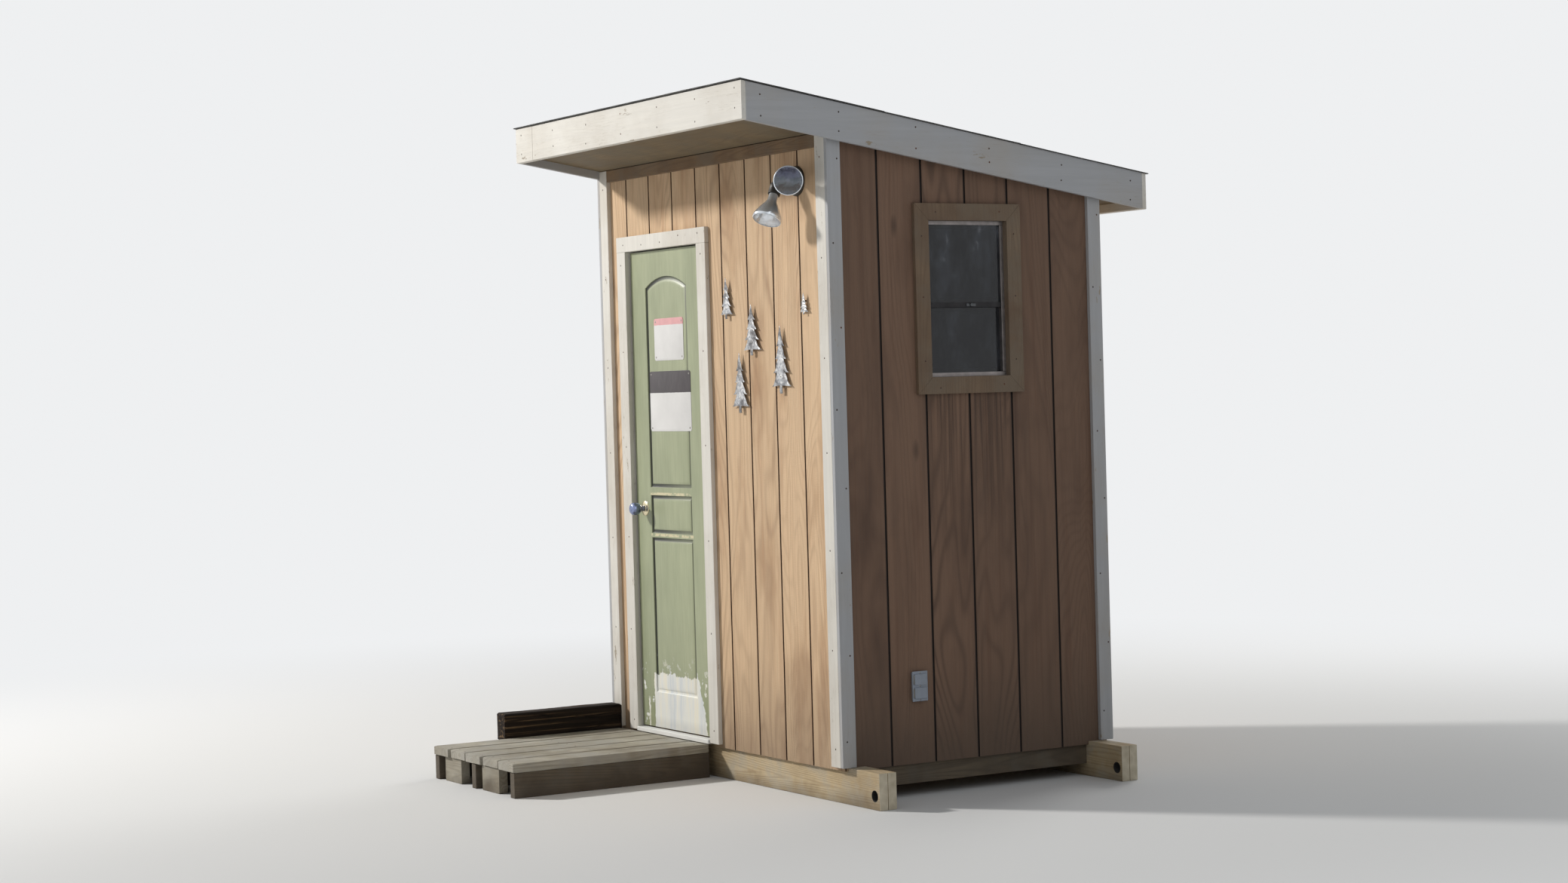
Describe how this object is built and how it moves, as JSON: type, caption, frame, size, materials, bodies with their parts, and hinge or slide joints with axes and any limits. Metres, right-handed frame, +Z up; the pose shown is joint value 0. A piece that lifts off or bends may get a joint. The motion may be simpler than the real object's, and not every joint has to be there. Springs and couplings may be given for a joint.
{
  "type": "wooden outhouse",
  "caption": "Small wooden outhouse on skids with grooved plywood walls, shed roof, panelled door, side window and plank step.",
  "frame": {"origin": "centre of the whole footprint, on the ground under the skids", "axes": "+Z up; the door faces -Y; the window faces +X"},
  "size_m": [2.291, 2.403, 2.7467],
  "materials": {
    "skid_wood": "pale treated lumber, weathered",
    "framing_wood": "bare softwood",
    "floor_ply": "bare plywood",
    "siding": "grooved plywood with tan stain",
    "trim_paint": "worn off-white paint",
    "frieze_wood": "bare weathered board",
    "roof_ply": "bare plywood",
    "roofing": "dark mineral roll roofing",
    "soffit_ply": "bare plywood",
    "threshold_paint": "white paint",
    "door_paint": "sage green paint, peeled low down",
    "hinge_steel": "dull steel",
    "rose_brass": "bright brass",
    "knob_metal": "dark reflective metal",
    "sign_plate": "white painted sheet",
    "window_wood": "tan brown paint",
    "window_metal": "mill finish",
    "window_glass": "clear over a dark room",
    "lamp_metal": "dark enamel",
    "lamp_glass": "silvered reflector with a patterned lens",
    "outlet_plastic": "grey",
    "tree_metal": "zinc coated sheet",
    "deck_wood": "weathered grey boards",
    "bearer_wood": "weathered lumber",
    "timber_wood": "dark preserved timber"
  },
  "bodies": {
    "shed": {"skid_front": "skid_wood", "skid_rear": "skid_wood", "floor_joists": "framing_wood", "floor_panel": "floor_ply", "plates_bottom": "framing_wood", "plates_top": "framing_wood", "studs_front_rear": "framing_wood", "studs_sides": "framing_wood", "opening_framing": "framing_wood", "siding_front": "siding", "siding_right": "siding", "siding_left": "siding", "siding_rear": "siding", "corner_boards": "trim_paint", "corner_returns": "trim_paint", "frieze_boards": "frieze_wood", "rafters": "framing_wood", "roof_panel": "roof_ply", "roofing": "roofing", "fascia_eaves": "trim_paint", "fascia_rakes": "trim_paint", "soffits": "soffit_ply", "door_jamb": "trim_paint", "door_stop": "trim_paint", "door_casing": "trim_paint", "threshold": "threshold_paint", "hinge_frames": "hinge_steel", "window_jamb": "window_wood", "window_casing": "window_wood", "window_frame": "window_metal", "window_glass": "window_glass", "flood_base": "lamp_metal", "flood_holders": "lamp_metal", "flood_lamps": "lamp_glass", "outlet_box": "outlet_plastic", "metal_trees": "tree_metal", "deck_boards": "deck_wood", "deck_bearers": "bearer_wood", "deck_blocks": "bearer_wood", "timber_lower": "timber_wood", "timber_upper": "timber_wood"},
    "door": {"door_leaf": "door_paint", "hinge_leaves": "hinge_steel", "knob_roses": "rose_brass", "door_signs": "sign_plate"},
    "knob": {"door_knob": "knob_metal"}
  },
  "joints": [
    {"name": "door_hinge", "type": "hinge", "parent": "shed", "child": "door", "pos_m": [-0.0905, -0.2895, 0], "axis": [0, 0, 1], "range_deg": [0, 105]},
    {"name": "knob_turn", "type": "hinge", "parent": "door", "child": "knob", "pos_m": [-0.6315, -0.2845, 1.097], "axis": [0, 1, 0], "range_deg": [-45, 45]}
  ]
}
